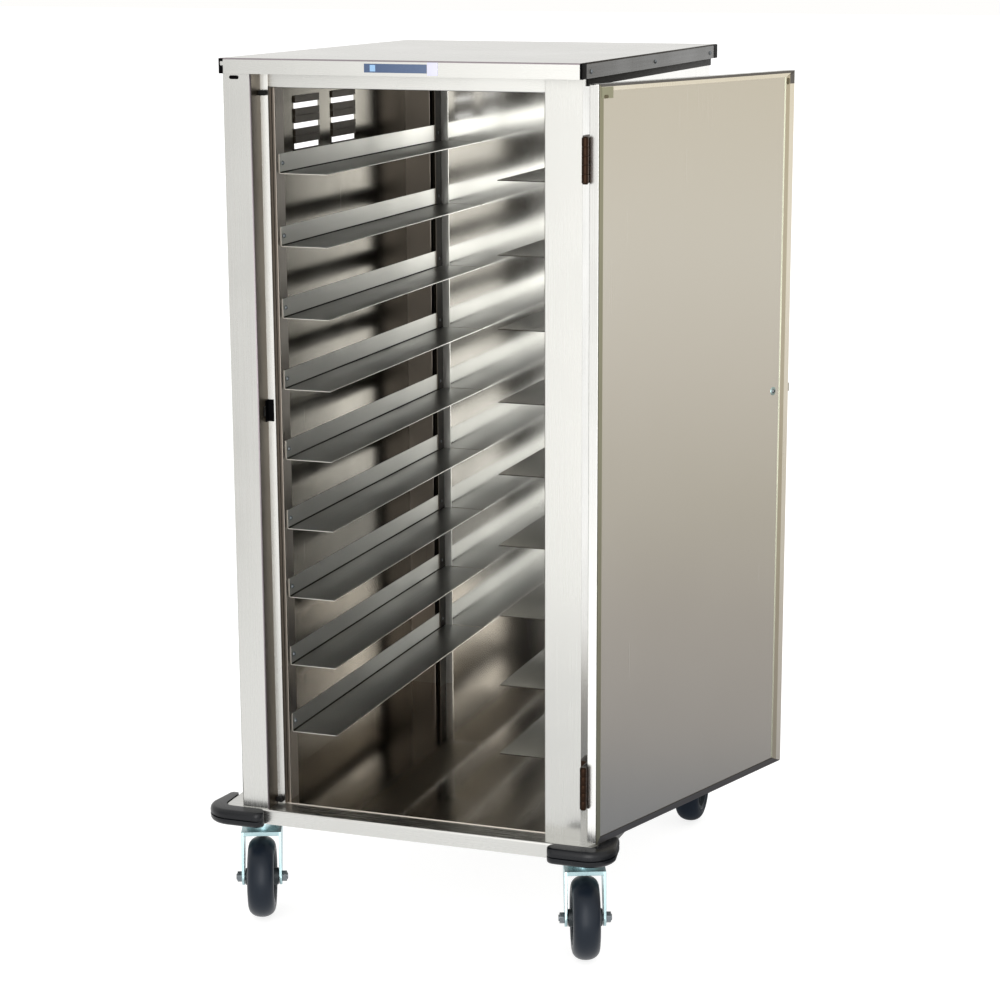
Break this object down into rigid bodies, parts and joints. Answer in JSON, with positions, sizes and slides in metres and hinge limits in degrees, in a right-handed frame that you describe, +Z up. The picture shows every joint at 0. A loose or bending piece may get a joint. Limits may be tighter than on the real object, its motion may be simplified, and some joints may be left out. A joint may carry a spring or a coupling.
{
  "type": "enclosed meal tray cart",
  "caption": "Sheet-steel tray cart: tall cabinet with paired tray ledges, one side-hinged door, corner bumpers and swivel casters.",
  "frame": {"origin": "on the floor, at the middle of the cart's whole footprint with the door standing open", "axes": "+Z up; +Y towards the back of the cabinet; +X to the hinge side of the door"},
  "size_m": [0.9584, 0.9865, 1.599],
  "materials": {
    "stainless": "sheet stainless steel, No. 4 brushed",
    "door_liner_steel": "sheet stainless steel, bright rolled",
    "ledge_steel": "sheet stainless steel, bright rolled",
    "floor_steel": "sheet stainless steel, near mirror",
    "zinc": "bright zinc plate",
    "bolt_steel": "dull zinc plate",
    "tyre": "solid rubber, satin",
    "wheel_core": "moulded nylon",
    "bumper_rubber": "moulded rubber, satin",
    "black_rubber": "moulded rubber, matt",
    "black_nylon": "moulded nylon, satin",
    "hinge_bronze": "oiled dark bronze plate",
    "screw_steel": "machined stainless steel",
    "plate_enamel": "smooth dark blue, plain"
  },
  "bodies": {
    "cabinet": {"base_pan": "stainless", "caster_channels": "stainless", "floor_panel": "floor_steel", "left_side_panel": "stainless", "right_side_panel": "stainless", "back_panel": "stainless", "lid": "stainless", "latch_post": "stainless", "jamb_strip": "stainless", "header": "stainless", "hinge_stile": "stainless", "front_uprights": "ledge_steel", "rear_uprights": "ledge_steel", "ledge_pair_1": "ledge_steel", "ledge_pair_2": "ledge_steel", "ledge_pair_3": "ledge_steel", "ledge_pair_4": "ledge_steel", "ledge_pair_5": "ledge_steel", "ledge_pair_6": "ledge_steel", "ledge_pair_7": "ledge_steel", "ledge_pair_8": "ledge_steel", "ledge_pair_9": "ledge_steel", "bumper_front_left": "bumper_rubber", "bumper_front_right": "bumper_rubber", "bumper_rear_left": "bumper_rubber", "bumper_rear_right": "bumper_rubber", "latch_strike": "black_nylon", "stop_pads": "black_rubber", "cabinet_hinge_leaves": "hinge_bronze", "hinge_pins": "hinge_bronze", "cabinet_screws": "screw_steel", "ledge_screws": "screw_steel", "name_plate": "plate_enamel", "caster_plates": "zinc", "caster_bolts": "bolt_steel"},
    "door": {"door_pan": "stainless", "door_inner_panel": "door_liner_steel", "door_stiffeners": "stainless", "door_hinge_leaves": "hinge_bronze", "door_screws": "screw_steel", "latch_cup": "stainless"},
    "paddle": {"latch_paddle": "black_nylon"},
    "latch_bolt": {"latch_bolt": "stainless"},
    "fork_front_left": {"fork_front_left": "zinc", "axle_front_left": "bolt_steel"},
    "wheel_front_left": {"hub_front_left": "wheel_core", "tyre_front_left": "tyre"},
    "fork_front_right": {"fork_front_right": "zinc", "axle_front_right": "bolt_steel"},
    "wheel_front_right": {"hub_front_right": "wheel_core", "tyre_front_right": "tyre"},
    "fork_rear_left": {"fork_rear_left": "zinc", "axle_rear_left": "bolt_steel"},
    "wheel_rear_left": {"hub_rear_left": "wheel_core", "tyre_rear_left": "tyre"},
    "fork_rear_right": {"fork_rear_right": "zinc", "axle_rear_right": "bolt_steel"},
    "wheel_rear_right": {"hub_rear_right": "wheel_core", "tyre_rear_right": "tyre"}
  },
  "joints": [
    {"name": "door_hinge", "type": "hinge", "parent": "cabinet", "child": "door", "pos_m": [0.25526, -0.44124, 0.8951], "axis": [0, 0, 1], "range_deg": [-250.8, 19.2]},
    {"name": "paddle_hinge", "type": "hinge", "parent": "door", "child": "paddle", "pos_m": [0.45368, 0.11273, 0.969], "axis": [0, 0, -1], "range_deg": [0, 18], "stiffness_Nm_per_rad": 0.3, "springref_deg": -5.73},
    {"name": "latch_bolt_slide", "type": "slide", "parent": "door", "child": "latch_bolt", "axis": [-0.3289, -0.9444, 0], "range_m": [0, 0.009]},
    {"name": "swivel_front_left", "type": "hinge", "parent": "cabinet", "child": "fork_front_left", "pos_m": [-0.40224, -0.38174, 0.173], "axis": [0, 0, 1], "continuous": true},
    {"name": "spin_front_left", "type": "hinge", "parent": "fork_front_left", "child": "wheel_front_left", "pos_m": [-0.38684, -0.42081, 0.076], "axis": [0.9304, 0.3665, 0], "continuous": true},
    {"name": "swivel_front_right", "type": "hinge", "parent": "cabinet", "child": "fork_front_right", "pos_m": [0.23776, -0.38174, 0.173], "axis": [0, 0, 1], "continuous": true},
    {"name": "spin_front_right", "type": "hinge", "parent": "fork_front_right", "child": "wheel_front_right", "pos_m": [0.25316, -0.42081, 0.076], "axis": [0.9304, 0.3665, 0], "continuous": true},
    {"name": "swivel_rear_left", "type": "hinge", "parent": "cabinet", "child": "fork_rear_left", "pos_m": [-0.40224, 0.39326, 0.173], "axis": [0, 0, 1], "continuous": true},
    {"name": "spin_rear_left", "type": "hinge", "parent": "fork_rear_left", "child": "wheel_rear_left", "pos_m": [-0.39566, 0.35178, 0.076], "axis": [0.9877, 0.1564, 0], "continuous": true},
    {"name": "swivel_rear_right", "type": "hinge", "parent": "cabinet", "child": "fork_rear_right", "pos_m": [0.23776, 0.39326, 0.173], "axis": [0, 0, 1], "continuous": true},
    {"name": "spin_rear_right", "type": "hinge", "parent": "fork_rear_right", "child": "wheel_rear_right", "pos_m": [0.24033, 0.35134, 0.076], "axis": [0.9981, 0.061, 0], "continuous": true}
  ],
  "couplings": [
    {"joint": "latch_bolt_slide", "follows": "paddle_hinge", "m_per_rad": 0.02864}
  ]
}
